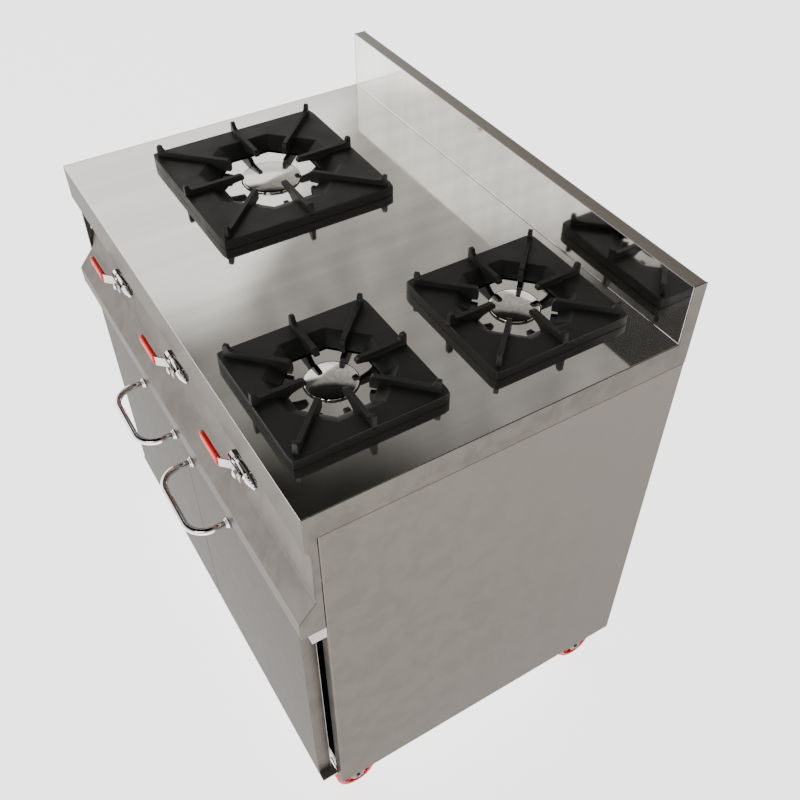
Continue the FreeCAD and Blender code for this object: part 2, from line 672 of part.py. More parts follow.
# ---------------------------------------------------------------- the pipe's way out through the back panel
back = [o for o in made if o.Label == "back_panel"][0]
hole = doc.addObject("Part::Cylinder", "inlet_hole")
hole.Radius = 12
hole.Height = 20
hole.Placement = FreeCAD.Placement(V(400, y(575), VALVE_Z - D["manifold_drop"]), FreeCAD.Rotation(V(1, 0, 0), -90))
hide(hole)
cut = doc.addObject("Part::Cut", "back_panel_cut")
cut.Base = back
cut.Tool = hole
made.remove(back)
hide(back)
keep(cut, "back_panel")
doc.recompute()

# ---------------------------------------------------------------- checks and export
bad = []
for obj in made:
    shape = obj.Shape
    if "Invalid" in obj.State or "Error" in obj.State or shape.isNull() or not shape.isValid():
        bad.append(obj.Label)
    if not shape.Solids:
        bad.append(obj.Label + " has no solid")
labels = [obj.Label for obj in made]
if len(set(labels)) != len(labels):
    bad.append("two sub-parts share a name")
if bad:
    raise RuntimeError("bad sub-parts: " + ", ".join(bad))
for obj in made:
    obj.Shape.exportStep("parts/" + obj.Label + ".step")
    box = obj.Shape.BoundBox
    print(f"{obj.Label} solids {len(obj.Shape.Solids)} volume {obj.Shape.Volume:.0f} "
          f"x {box.XMin:.1f}..{box.XMax:.1f} y {box.YMin:.1f}..{box.YMax:.1f} z {box.ZMin:.1f}..{box.ZMax:.1f}")
print(len(made), "sub-parts")
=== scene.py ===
import bpy
import bmesh
import math
from mathutils import Vector, Matrix
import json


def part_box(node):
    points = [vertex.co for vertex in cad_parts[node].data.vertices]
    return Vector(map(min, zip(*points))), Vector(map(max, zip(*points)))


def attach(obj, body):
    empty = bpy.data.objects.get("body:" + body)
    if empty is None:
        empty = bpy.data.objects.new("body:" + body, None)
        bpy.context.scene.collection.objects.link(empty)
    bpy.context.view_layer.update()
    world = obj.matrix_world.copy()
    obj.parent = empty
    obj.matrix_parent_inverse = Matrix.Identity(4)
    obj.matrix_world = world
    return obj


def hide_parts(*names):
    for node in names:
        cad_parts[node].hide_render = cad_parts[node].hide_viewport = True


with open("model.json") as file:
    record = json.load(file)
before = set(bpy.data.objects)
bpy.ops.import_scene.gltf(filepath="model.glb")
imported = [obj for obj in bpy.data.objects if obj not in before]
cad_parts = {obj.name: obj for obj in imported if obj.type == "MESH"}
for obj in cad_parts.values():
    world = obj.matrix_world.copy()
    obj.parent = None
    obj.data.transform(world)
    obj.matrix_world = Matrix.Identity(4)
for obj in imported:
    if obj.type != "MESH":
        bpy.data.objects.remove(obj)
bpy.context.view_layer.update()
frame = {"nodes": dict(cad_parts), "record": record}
NODES = frame["nodes"]
SCENE = bpy.context.scene
MM = 0.001


# ---------------------------------------------------------------- materials
class Shader:
    """A procedural material under construction: one Principled shader and helper nodes."""

    def __init__(self, name, metallic=0.0, roughness=0.5, specular=0.5):
        self.material = bpy.data.materials.new(name)
        self.material.use_nodes = True
        self.tree = self.material.node_tree
        self.main = self.tree.nodes["Principled BSDF"]
        self.main.inputs["Metallic"].default_value = metallic
        self.main.inputs["Roughness"].default_value = roughness
        self.main.inputs["Specular IOR Level"].default_value = specular
        self.coords = self.tree.nodes.new("ShaderNodeTexCoord")

    def noise(self, scale, stretch=(1, 1, 1), detail=4.0, rough=0.55, distort=0.0):
        mapping = self.tree.nodes.new("ShaderNodeMapping")
        mapping.inputs["Scale"].default_value = stretch
        self.tree.links.new(self.coords.outputs["Object"], mapping.inputs["Vector"])
        tex = self.tree.nodes.new("ShaderNodeTexNoise")
        tex.inputs["Scale"].default_value = scale
        tex.inputs["Detail"].default_value = detail
        tex.inputs["Roughness"].default_value = rough
        tex.inputs["Distortion"].default_value = distort
        self.tree.links.new(mapping.outputs["Vector"], tex.inputs["Vector"])
        return tex.outputs["Fac"]

    def ramp(self, value, stops):
        node = self.tree.nodes.new("ShaderNodeValToRGB")
        ramp = node.color_ramp
        ramp.elements[0].position, ramp.elements[0].color = stops[0][0], (*stops[0][1], 1)
        ramp.elements[1].position, ramp.elements[1].color = stops[-1][0], (*stops[-1][1], 1)
        for position, color in stops[1:-1]:
            element = ramp.elements.new(position)
            element.color = (*color, 1)
        self.tree.links.new(value, node.inputs["Fac"])
        return node.outputs["Color"]

    def spread(self, value, low, high, low_in=0.3, high_in=0.7):
        node = self.tree.nodes.new("ShaderNodeMapRange")
        node.inputs["From Min"].default_value = low_in
        node.inputs["From Max"].default_value = high_in
        node.inputs["To Min"].default_value = low
        node.inputs["To Max"].default_value = high
        self.tree.links.new(value, node.inputs["Value"])
        return node.outputs["Result"]

    def blend(self, factor, a, b, mode="MIX"):
        node = self.tree.nodes.new("ShaderNodeMix")
        node.data_type = "RGBA"
        node.blend_type = mode
        self.tree.links.new(factor, node.inputs["Factor"])
        self.tree.links.new(a, node.inputs["A"])
        if isinstance(b, tuple):
            node.inputs["B"].default_value = (*b, 1)
        else:
            self.tree.links.new(b, node.inputs["B"])
        return node.outputs["Result"]

    def edges(self, low=0.52, high=0.6):
        geometry = self.tree.nodes.new("ShaderNodeNewGeometry")
        return self.spread(geometry.outputs["Pointiness"], 0, 1, low, high)

    def color(self, value):
        self.tree.links.new(value, self.main.inputs["Base Color"])

    def roughness(self, value):
        self.tree.links.new(value, self.main.inputs["Roughness"])

    def bump(self, value, strength, distance):
        node = self.tree.nodes.new("ShaderNodeBump")
        node.inputs["Strength"].default_value = strength
        node.inputs["Distance"].default_value = distance
        self.tree.links.new(value, node.inputs["Height"])
        self.tree.links.new(node.outputs["Normal"], self.main.inputs["Normal"])


def grey(value, warm=0.0):
    """Grey as red, green and blue; warm tips it towards red."""
    return (value * (1 + warm), value, value * (1 - warm))


def steel(name, dark, light, rough, cloud, grain, grain_stretch, warm=0.03, depth=0.00004, span=(0.3, 0.7),
          grazing=1.0):
    """Stainless steel: cloudy tone, brushed grain in tone, gloss and relief, brighter worn edges."""
    s = Shader(name, metallic=1.0)
    clouds = s.noise(cloud, detail=5, rough=0.6, distort=0.6)
    fine = s.noise(grain, stretch=grain_stretch, detail=3)
    s.main.inputs["Specular Tint"].default_value = (*grey(grazing), 1)
    tone = s.ramp(clouds, [(span[0], grey(dark, warm)), (span[1], grey(light, warm))])
    streak = s.ramp(fine, [(0.25, grey(0.9)), (0.75, grey(1.06))])
    weight = s.spread(fine, 0.75, 0.95)
    tone = s.blend(weight, tone, streak, "MULTIPLY")
    s.color(s.blend(s.edges(), tone, grey(min(1.0, light * 1.25), warm)))
    s.roughness(s.spread(clouds, rough[0], rough[1]))
    s.bump(fine, 0.25, depth)
    return s.material


def mirror_steel(name="mirror_steel"):
    """Polished sheet: almost a mirror, with faint polishing streaks front to rear."""
    s = Shader(name, metallic=1.0)
    streak = s.noise(26, stretch=(1, 0.04, 0.2), detail=3)
    haze = s.noise(5, detail=4)
    s.color(s.ramp(streak, [(0.3, (0.74, 0.725, 0.70)), (0.7, (0.86, 0.85, 0.835))]))
    s.roughness(s.spread(haze, 0.05, 0.1))
    fine = s.noise(900, stretch=(1, 0.05, 1), detail=2)
    s.bump(fine, 0.02, 0.00001)
    return s.material


def chrome(name, tint):
    """Bright plating with a faint haze."""
    s = Shader(name, metallic=1.0)
    haze = s.noise(70, detail=3)
    s.color(s.ramp(haze, [(0.3, grey(tint * 0.95)), (0.7, grey(tint))]))
    s.roughness(s.spread(haze, 0.04, 0.12))
    s.bump(s.noise(400, detail=2), 0.05, 0.00002)
    return s.material


def iron(name, dark, light, rough, speck=1600):
    """Black enamelled or sand-cast iron: grainy, slightly polished on its edges."""
    s = Shader(name, metallic=0.0, specular=0.4)
    cloud = s.noise(24, detail=5)
    fine = s.noise(speck, detail=4, rough=0.7)
    tone = s.ramp(cloud, [(0.3, grey(dark)), (0.7, grey(light))])
    s.color(s.blend(s.edges(0.53, 0.62), tone, grey(light * 3.2)))
    s.roughness(s.spread(cloud, rough[0], rough[1]))
    s.bump(fine, 0.35, 0.00012)
    return s.material


def moulded(name, dark, light, rough, grain=1400, specular=0.5):
    """Moulded plastic or rubber with a fine grain and rubbed edges."""
    s = Shader(name, specular=specular)
    cloud = s.noise(60, detail=4)
    fine = s.noise(grain, detail=3)
    tone = s.ramp(cloud, [(0.3, dark), (0.7, light)])
    rubbed = tuple(min(1.0, c * 1.15 + 0.01) for c in light)
    s.color(s.blend(s.edges(0.52, 0.62), tone, rubbed))
    s.roughness(s.spread(fine, rough[0], rough[1]))
    s.bump(fine, 0.2, 0.00006)
    return s.material


ACROSS = (0.03, 1, 1)
FINISH = {
    "mirror_steel": mirror_steel(),
    "brushed_steel": steel("brushed_steel", 0.20, 0.28, (0.28, 0.38), 18, 700, ACROSS, warm=0.08),
    "panel_steel": steel("panel_steel", 0.080, 0.116, (0.34, 0.46), 26, 500, (1, 1, 0.6), warm=0.11,
                         span=(0.40, 0.60), grazing=0.5),
    # darker copy of brushed_steel, with dimmer grazing reflections, for the sheets that face the front:
    # painted shade
    "shaded_front_steel": steel("shaded_front_steel", 0.15, 0.20, (0.26, 0.36), 20, 700, ACROSS, warm=0.08,
                         span=(0.36, 0.64), grazing=0.4),
    "hidden_steel": steel("hidden_steel", 0.30, 0.36, (0.45, 0.6), 12, 500, ACROSS),
    "gas_pipe_steel": steel("gas_pipe_steel", 0.30, 0.42, (0.35, 0.5), 60, 900, (1, 1, 1)),
    "injector_brass": moulded("injector_brass", (0.42, 0.28, 0.09), (0.55, 0.38, 0.13), (0.25, 0.35)),
    "valve_chrome": chrome("valve_chrome", 0.82),
    "handle_chrome": chrome("handle_chrome", 0.88),
    "lever_steel": steel("lever_steel", 0.50, 0.60, (0.3, 0.4), 60, 1500, (0.1, 1, 1)),
    "red_sleeve": moulded("red_sleeve", (0.80, 0.0, 0.0), (0.95, 0.002, 0.002), (0.4, 0.55), specular=0.3),
    "magnet_black": moulded("magnet_black", grey(0.02), grey(0.035), (0.5, 0.65)),
    "burner_iron": iron("burner_iron", 0.02, 0.045, (0.55, 0.75)),
    "cap_steel": mirror_steel("cap_steel"),
    "support_iron": iron("support_iron", 0.009, 0.015, (0.42, 0.56)),
    "castor_zinc": steel("castor_zinc", 0.35, 0.48, (0.3, 0.45), 50, 900, (1, 1, 1)),
    "castor_black": moulded("castor_black", grey(0.012), grey(0.025), (0.3, 0.45)),
    "pedal_black": moulded("pedal_black", grey(0.010), grey(0.02), (0.35, 0.5)),
    "wheel_red": moulded("wheel_red", (0.42, 0.006, 0.005), (0.60, 0.01, 0.008), (0.4, 0.55)),
}
FINISH["injector_brass"].node_tree.nodes["Principled BSDF"].inputs["Metallic"].default_value = 1.0


# ---------------------------------------------------------------- CAD nodes: finish and softened edges
EDGE_RADIUS = {"support_iron": 1.1, "mirror_steel": 0.6, "brushed_steel": 0.5, "panel_steel": 0.6,
               "lever_steel": 0.4, "red_sleeve": 0.6, "valve_chrome": 0.5, "castor_black": 0.7,
               "burner_iron": 0.8, "cap_steel": 0.3, "pedal_black": 0.6, "wheel_red": 0.5}


def soften(obj, radius_mm, smooth, segments=2, angle=35):
    """Weld, bevel the sharp edges and shade smooth or flat, as asked."""
    weld = obj.modifiers.new("weld", "WELD")
    weld.merge_threshold = 0.00002
    bevel = obj.modifiers.new("bevel", "BEVEL")
    bevel.width = radius_mm * MM
    bevel.segments = segments
    bevel.limit_method = "ANGLE"
    bevel.angle_limit = math.radians(angle)
    bevel.use_clamp_overlap = True
    bevel.harden_normals = True
    for polygon in obj.data.polygons:
        polygon.use_smooth = smooth


# nodes drawn in another material than their slot's: the front flange and control panel get a darker copy of
# the brushed steel, painted shade for the front faces; the end cheeks get the side panels' steel
LOOK = {"front_flange": "shaded_front_steel", "control_panel": "shaded_front_steel",
        "end_cheek_left": "panel_steel", "end_cheek_right": "panel_steel"}
FLAT_SLOTS = ("mirror_steel", "brushed_steel", "panel_steel", "hidden_steel", "lever_steel", "magnet_black")
for entry in frame["record"]["subparts"]:
    node = NODES[entry["node"]]
    slot_name = entry["material_slot"]
    node.data.materials.clear()
    node.data.materials.append(FINISH[LOOK.get(entry["node"], slot_name)])
    soften(node, EDGE_RADIUS.get(slot_name, 0.4), slot_name not in FLAT_SLOTS)


# ---------------------------------------------------------------- mesh builders
FRONT_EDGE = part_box("worktop_sheet")[0][1]
# height of the valves and X of the levers' stems in metres, depth of the valves in millimetres
VALVE_Z = 0.728
VALVE_DEPTH = 9
STEMS = (-0.242, 0.0, 0.242)
# the gas branch behind each valve and the burner pipe beside it, from the valve's middle, in metres
BRANCH_DROP = 0.006
PIPE_ASIDE = 0.006
PIPE_RISE = 0.0085


def row_y(depth_mm):
    """Frame Y, in metres, of a depth in millimetres behind the worktop's front edge."""
    return FRONT_EDGE + depth_mm * MM


def finish_piece(bm, name, body, slot_name, stands_for=(), bevel_mm=0.0, segments=2, angle=35, subdivide=0):
    """Turns a bmesh into a shown piece that rides on a body and stands for CAD nodes."""
    bmesh.ops.recalc_face_normals(bm, faces=bm.faces)
    mesh = bpy.data.meshes.new(name)
    bm.to_mesh(mesh)
    bm.free()
    obj = bpy.data.objects.new(name, mesh)
    SCENE.collection.objects.link(obj)
    mesh.materials.append(FINISH[slot_name])
    for polygon in mesh.polygons:
        polygon.use_smooth = True
    if bevel_mm:
        bevel = obj.modifiers.new("bevel", "BEVEL")
        bevel.width = bevel_mm * MM
        bevel.segments = segments
        bevel.limit_method = "ANGLE"
        bevel.angle_limit = math.radians(angle)
        bevel.harden_normals = True
    if subdivide:
        sub = obj.modifiers.new("smooth", "SUBSURF")
        sub.levels = subdivide
        sub.render_levels = subdivide
    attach(obj, body)
    if stands_for:
        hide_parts(*stands_for)
    return obj


def skin(bm, rings, caps=True):
    """Joins closed rings of points into a tube, with or without end faces."""
    rows = [[bm.verts.new(p) for p in points] for points in rings]
    for a, b in zip(rows, rows[1:]):
        n = len(a)
        for k in range(n):
            bm.faces.new((a[k], a[(k + 1) % n], b[(k + 1) % n], b[k]))
    if caps:
        bm.faces.new(rows[0][::-1])
        bm.faces.new(rows[-1])
    return rows


def lathe(bm, origin, axis, profile, segments=40):
    """Turned shape: profile is (distance along axis, radius) in millimetres."""
    axis = Vector(axis).normalized()
    side = axis.orthogonal().normalized()
    other = axis.cross(side)
    origin = Vector(origin)
    rings = []
    for along, radius in profile:
        centre = origin + axis * along * MM
        radius = max(radius, 0.02) * MM
        rings.append([centre + (side * math.cos(t) + other * math.sin(t)) * radius
                      for t in (2 * math.pi * k / segments for k in range(segments))])
    skin(bm, rings)


def sweep(bm, path, radius, segments=24):
    """Round bar along a list of points."""
    path = [Vector(p) for p in path]
    rings = []
    up = Vector((0, 0, 1))
    for k, point in enumerate(path):
        ahead = path[min(k + 1, len(path) - 1)] - path[max(k - 1, 0)]
        ahead.normalize()
        side = ahead.cross(up).normalized()
        top = side.cross(ahead).normalized()
        rings.append([point + (side * math.cos(t) + top * math.sin(t)) * radius
                      for t in (2 * math.pi * s / segments for s in range(segments))])
    skin(bm, rings)


def hexagon_nut(bm, origin, axis, flats, x0, x1, chamfer=1.0):
    """Hexagon with chamfered ends, lying along an axis."""
    axis = Vector(axis).normalized()
    side = axis.orthogonal().normalized()
    other = axis.cross(side)
    origin = Vector(origin)
    radius = flats / math.sqrt(3)
    rings = []
    for along, r in ((x0, radius - chamfer), (x0 + chamfer * 0.6, radius), (x1 - chamfer * 0.6, radius),
                     (x1, radius - chamfer)):
        centre = origin + axis * along * MM
        rings.append([centre + (side * math.cos(t) + other * math.sin(t)) * r * MM
                      for t in (math.pi / 3 * k for k in range(6))])
    skin(bm, rings)


# ---------------------------------------------------------------- door handles
def door_handle(side, sign):
    """Round bar bent to a D, with a stepped collar at each foot."""
    bar, bend, height = 5.75, 34.0, 0.557
    near, far, front, reach = 36.0, 181.0, -10.0, -70.25
    path = []

    def add(x, depth):
        path.append((sign * x * MM, row_y(depth), height))

    for k in range(7):
        add(near, front + (reach + bend - front) * k / 6)
    for k in range(1, 15):
        t = math.pi / 2 * k / 14
        add(near + bend * (1 - math.cos(t)), reach + bend * (1 - math.sin(t)))
    for k in range(1, 8):
        add(near + bend + (far - near - 2 * bend) * k / 8, reach)
    for k in range(0, 15):
        t = math.pi / 2 * k / 14
        add(far - bend * (1 - math.sin(t)), reach + bend * (1 - math.cos(t)))
    for k in range(1, 7):
        add(far, reach + bend + (front - reach - bend) * k / 6)
    bm = bmesh.new()
    sweep(bm, path, bar * MM, 28)
    collar = [(0.0, 0), (0.0, 8.4), (0.6, 9.0), (3.2, 9.0), (4.0, 8.2), (4.3, 7.4)]
    collar += [(6.4, 7.2), (7.0, 6.4), (7.0, 0)]
    for x in (near, far):
        lathe(bm, (sign * x * MM, row_y(front), height), (0, -1, 0), collar, 36)
    finish_piece(bm, "handle_bar_" + side, "door_" + side, "handle_chrome", ["door_handle_" + side],
                 bevel_mm=0.25, angle=40)


for side_name, side_sign in (("left", -1), ("right", 1)):
    door_handle(side_name, side_sign)


# ---------------------------------------------------------------- valves and levers
def valve_piece(index, stem):
    """Chrome ball valve: hexagon end, barrel, ringed tail and stem neck."""
    depth = row_y(VALVE_DEPTH)
    bm = bmesh.new()
    centre = (stem, depth, VALVE_Z)
    hexagon_nut(bm, centre, (1, 0, 0), 15.5, -37, -24, 1.2)
    lathe(bm, centre, (1, 0, 0), [(-38.0, 0), (-38.0, 5.0), (-37.2, 5.8), (-36.5, 5.8), (-36.5, 0)], 32)
    barrel = [(-24.5, 0), (-24.5, 6.4), (-18.5, 6.4), (-17.2, 7.4), (-15.0, 8.4), (-10.0, 8.95), (-4.0, 9.0),
              (4.0, 9.0), (9.0, 8.9), (12.5, 8.2), (14.2, 7.0), (14.8, 6.0), (18.0, 6.0), (18.6, 7.4),
              (19.4, 8.0), (23.6, 7.6), (24.4, 6.6), (27.0, 6.2), (27.8, 6.6), (29.6, 5.9), (30.2, 5.2),
              (33.0, 4.6), (33.8, 5.0), (35.6, 4.2), (36.2, 3.6), (39.2, 3.2), (40.0, 2.6), (40.0, 0)]
    lathe(bm, centre, (1, 0, 0), barrel, 48)
    neck = [(-2.0, 0), (-2.0, 7.2), (3.0, 7.0), (4.2, 6.6), (4.6, 6.0), (9.0, 5.9), (9.2, 4.8), (9.2, 0)]
    lathe(bm, centre, (0, -1, 0), neck, 40)
    spigot = [(0, 0), (0, 6.0), (14.0, 6.0), (14.8, 8.2), (20.0, 8.2), (20.8, 6.0), (43.5, 6.0), (43.5, 0)]
    lathe(bm, (stem, depth, VALVE_Z - BRANCH_DROP), (0, 1, 0), spigot, 32)
    finish_piece(bm, "valve_%d" % index, "cabinet", "valve_chrome", ["valve_body_%d" % index], 0.3, 2, 30)


def stem_piece(index, stem):
    """Stem end and the nut that holds the lever."""
    bm = bmesh.new()
    centre = (stem, row_y(0), VALVE_Z)
    hexagon_nut(bm, centre, (0, -1, 0), 11.0, 3.0, 7.2, 0.8)
    lathe(bm, centre, (0, -1, 0), [(-3.6, 0), (-3.6, 4.0), (7.4, 4.0), (8.0, 3.4), (8.0, 0)], 32)
    finish_piece(bm, "stem_nut_%d" % index, "lever_%d" % index, "valve_chrome",
                 ["valve_stem_%d" % index], 0.2)


def sleeve_piece(index, stem):
    """Dipped grip: flat oval section, round tip, thicker rolled mouth."""
    bm = bmesh.new()
    rings = []
    mouth, tip = -34.0, -97.0
    half_width, half_thickness, lever_depth = 9.0, 4.1, -14
    shape = [(0.0, 1.04), (0.03, 1.06), (0.07, 1.0), (0.5, 0.98), (0.86, 0.97), (0.93, 0.92)]
    shape += [(0.97, 0.78), (1.0, 0.52)]
    for along, scale in shape:
        x = mouth + (tip - mouth) * along
        points = []
        for k in range(32):
            t = 2 * math.pi * k / 32
            c, s = math.cos(t), math.sin(t)
            wide = half_width * scale * math.copysign(abs(c) ** 0.55, c)
            thick = half_thickness * scale * math.copysign(abs(s) ** 0.7, s)
            points.append((stem + x * MM, row_y(lever_depth + thick), VALVE_Z + wide * MM))
        rings.append(points)
    skin(bm, rings)
    finish_piece(bm, "grip_%d" % index, "lever_%d" % index, "red_sleeve", ["lever_sleeve_%d" % index],
                 subdivide=1)


for number, stem_x in enumerate(STEMS, start=1):
    valve_piece(number, stem_x)
    stem_piece(number, stem_x)
    sleeve_piece(number, stem_x)


# ---------------------------------------------------------------- castor wheels
# millimetres: wheel radius, and how far the axle trails the swivel
WHEEL_RADIUS = 37.5
CASTOR_TRAIL = 20
# swivel axes: X in metres, depths in millimetres
CASTOR_SIDE, CASTOR_FRONT, CASTOR_REAR = 0.407, 42, 540


def castor_wheel(name, x, axis_depth):
    """Crowned red tread, sunk web with eight ribs on each side, bored hub."""
    bm = bmesh.new()
    centre = (x, row_y(axis_depth + CASTOR_TRAIL), WHEEL_RADIUS * MM)
    half = [(0.0, WHEEL_RADIUS), (5.0, 37.4), (8.5, 36.6), (11.0, 34.8), (12.2, 32.4), (12.5, 29.5)]
    half += [(12.2, 27.6), (11.2, 26.6), (5.8, 25.6), (5.2, 24.6), (5.2, 12.4), (5.8, 11.6)]
    half += [(11.6, 10.6), (12.4, 9.8), (12.5, 4.3)]
    profile = [(-a, r) for a, r in half[::-1]] + half[1:]
    axis = Vector((1, 0, 0))
    rings = []
    for along, radius in profile:
        rings.append([Vector(centre) + axis * along * MM
                      + Vector((0, math.cos(t), math.sin(t))) * radius * MM
                      for t in (2 * math.pi * k / 64 for k in range(64))])
    rows = skin(bm, rings, caps=False)
    for k in range(64):
        bm.faces.new((rows[0][k], rows[-1][k], rows[-1][(k + 1) % 64], rows[0][(k + 1) % 64]))
    section = ((-1.3, 10), (1.3, 10), (1.3, 26.4), (-1.3, 26.4))
    for k in range(8):
        turn = Matrix.Rotation(math.pi / 4 * k, 4, "X")
        for lo, hi in ((4.8, 10.2), (-10.2, -4.8)):
            corners = [Vector((a * MM, b * MM, c * MM)) for a in (lo, hi) for b, c in section]
            verts = [bm.verts.new(Vector(centre) + turn @ v) for v in corners]
            for quad in ((0, 1, 2, 3), (4, 7, 6, 5), (0, 4, 5, 1), (1, 5, 6, 2), (2, 6, 7, 3), (3, 7, 4, 0)):
                bm.faces.new([verts[q] for q in quad])
    finish_piece(bm, "wheel_" + name, "wheel_" + name, "wheel_red", ["castor_wheel_" + name], 0.4, 2, 30)


for end_name, end_depth in (("front", CASTOR_FRONT), ("rear", CASTOR_REAR)):
    castor_wheel(end_name + "_left", -CASTOR_SIDE, end_depth)
    castor_wheel(end_name + "_right", CASTOR_SIDE, end_depth)


# ---------------------------------------------------------------- pan supports
# points round each ring
AROUND = 128
# heights above the worktop, then wall thicknesses, in millimetres
PLATE_TOP, PLATE_FOOT, WELL_FOOT = 17.0, 11.0, 2.0
RIM_WALL, WELL_WALL = 7, 3.0
# a rib's crest above the plate, and the end of a corner rib from the plate's corner, in millimetres
RIB_RISE = 8.5
CORNER_INSET = 14


def square_reach(t, half):
    """Distance to a square's side in direction t, corners slightly rounded."""
    power = 40
    return half / (abs(math.cos(t)) ** power + abs(math.sin(t)) ** power) ** (1 / power)


def octagon_reach(t, half):
    """Distance to an octagon's side in direction t; half is half its width across flats."""
    turn = (t + math.pi / 8) % (math.pi / 4) - math.pi / 8
    return half / math.cos(turn)


def rib_line(half, well, mouth, corner):
    """Outline of a rib in millimetres: distance from the middle and height; corner ribs start farther out."""
    reach = half * math.sqrt(2) - CORNER_INSET if corner else half
    crest = PLATE_TOP + RIB_RISE
    if corner:
        start = 0.46 * half
        line = [(mouth + 1, WELL_FOOT + 2.4), (start + 0.3, WELL_FOOT + 3.2), (start, 12), (start + 0.6, 19)]
        line += [(start + 2.2, crest - 1.6), (start + 5, crest - 0.2)]
    else:
        start = 0.32 * half
        line = [(start + 0.4, PLATE_TOP - 0.8), (start, 19), (start + 0.8, 22)]
        line += [(start + 3.2, crest - 1.2), (start + 7, crest - 0.1)]
    line += [(reach - 18, crest), (reach - 12, crest + 0.7), (reach - 9, crest + 3.2)]
    line += [(reach - 7.8, crest + 8.2), (reach - 6.4, crest + 9.4), (reach - 1.2, crest + 9.5)]
    line += [(reach, crest + 8.2), (reach, PLATE_FOOT + 2), (well + 2, PLATE_FOOT + 2)]
    line += [(mouth + 4, WELL_FOOT + 3)]
    if not corner:
        line += [(mouth - 3.6, PLATE_TOP - 6.2), (mouth - 12, PLATE_TOP - 3.4)]
    return line


def rib_thickness(height):
    """Half the rib's thickness, slightly less towards the top."""
    return 4.0 - 0.7 * min(1, max(0, (height - PLATE_TOP) / 18))


def pan_support(index):
    """Cast grid lying on the worktop: rimmed square plate, octagonal sloping well, eight ribs with knobs."""
    low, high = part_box("pan_support_%d" % index)
    middle = Vector(((low[0] + high[0]) / 2, (low[1] + high[1]) / 2, low[2]))
    half = round((high[0] - low[0]) / MM) / 2
    well, mouth = 0.72 * half, 0.54 * half
    bm = bmesh.new()

    def ring(reach, size, height):
        row = []
        for k in range(AROUND):
            t = 2 * math.pi * k / AROUND
            r = reach(t, size)
            row.append(bm.verts.new(middle + Vector((math.cos(t) * r, math.sin(t) * r, height)) * MM))
        return row

    def slope(height):
        return mouth + (well - mouth) * (height - WELL_FOOT) / (PLATE_TOP - WELL_FOOT)

    square = [(half - RIM_WALL, PLATE_FOOT), (half - RIM_WALL, 0.0), (half - 0.8, 0.0), (half, 0.8)]
    square += [(half, PLATE_TOP - 1.2), (half - 0.4, PLATE_TOP - 0.4), (half - 1.2, PLATE_TOP)]
    square += [(half - 5, PLATE_TOP)]
    inside = [(well + 1.4, PLATE_TOP), (well + 0.4, PLATE_TOP - 0.3)]
    inside += [(slope(h), h) for h in (PLATE_TOP - 1.2, WELL_FOOT + 0.6)]
    inside += [(mouth + 0.3, WELL_FOOT), (mouth + WELL_WALL, WELL_FOOT)]
    rows = [ring(octagon_reach, slope(PLATE_FOOT) + WELL_WALL, PLATE_FOOT)]
    rows += [ring(square_reach, size, height) for size, height in square]
    rows += [ring(octagon_reach, size, height) for size, height in inside]
    for a, b in zip(rows, rows[1:] + rows[:1]):
        for k in range(AROUND):
            n = (k + 1) % AROUND
            bm.faces.new((a[k], a[n], b[n], b[k]))

    for k in range(8):
        line = rib_line(half, well, mouth, corner=k % 2 == 1)
        turn = Matrix.Rotation(math.pi / 4 * k, 3, "Z")
        sides = []
        for offset in (-1, 1):
            points = [turn @ Vector((r, offset * rib_thickness(h), h)) for r, h in line]
            sides.append([bm.verts.new(middle + point * MM) for point in points])
        bm.faces.new(sides[0])
        bm.faces.new(sides[1][::-1])
        count = len(line)
        for j in range(count):
            n = (j + 1) % count
            bm.faces.new((sides[0][j], sides[1][j], sides[1][n], sides[0][n]))
    finish_piece(bm, "grid_%d" % index, "pan_support_%d" % index, "support_iron", ["pan_support_%d" % index],
                 0.8, 3, 13)


for number in (1, 2, 3):
    pan_support(number)


# ---------------------------------------------------------------- sheet-metal pieces
# sheet thickness and half the width between the end cheeks, in millimetres
GAUGE = 1.5
INNER = 448.5
# centre X in metres, depth and radius in millimetres
BURNER_HOLES = ((-0.226, 290, 50.5), (0.265, 140, 38.5), (0.265, 438, 38.5))


def rounded_line(line, radius, steps=6):
    """A folded line with each corner turned into an arc."""
    points = [Vector(line[0])]
    for a, b, c in zip(line, line[1:], line[2:]):
        a, b, c = Vector(a), Vector(b), Vector(c)
        back, ahead = (a - b).normalized(), (c - b).normalized()
        half = back.angle(ahead) / 2
        setback = min(radius / math.tan(half), (a - b).length * 0.45, (c - b).length * 0.45)
        reach = setback / math.cos(half)
        centre = b + (back + ahead).normalized() * reach
        start, end = b + back * setback - centre, b + ahead * setback - centre
        for k in range(steps + 1):
            t = k / steps
            mixed = start.lerp(end, t)
            points.append(centre + mixed.normalized() * start.length)
    points.append(Vector(line[-1]))
    return points


def bent_sheet(name, line, start, end, node_names, slot_name, along="X", radius=2.2):
    """Sheet folded along a line, drawn out along X or Z; the line is the middle of the sheet, in mm."""
    middle = rounded_line(line, radius)
    left, right = [], []
    for k, point in enumerate(middle):
        ahead = (middle[min(k + 1, len(middle) - 1)] - middle[max(k - 1, 0)]).normalized()
        normal = Vector((-ahead.y, ahead.x)) * GAUGE / 2
        left.append(point + normal)
        right.append(point - normal)
    loop = left + right[::-1]

    def place(p, w):
        if along == "X":
            return Vector((w * MM, row_y(p.x), p.y * MM))
        return Vector((p.x * MM, row_y(p.y), w * MM))

    bm = bmesh.new()
    rows = skin(bm, [[place(p, w) for p in loop] for w in (start, end)], caps=False)
    count = len(left)
    for row in (rows[0], rows[-1]):
        for k in range(count - 1):
            bm.faces.new((row[k], row[k + 1], row[2 * count - 2 - k], row[2 * count - 1 - k]))
    obj = finish_piece(bm, name, "cabinet", slot_name, node_names, 0.35, 2, 50)
    weigh(obj)
    return obj


def weigh(obj):
    """Flat faces keep flat shading beside their rounded edges."""
    weighted = obj.modifiers.new("weighted", "WEIGHTED_NORMAL")
    weighted.keep_sharp = True
    weighted.weight = 100


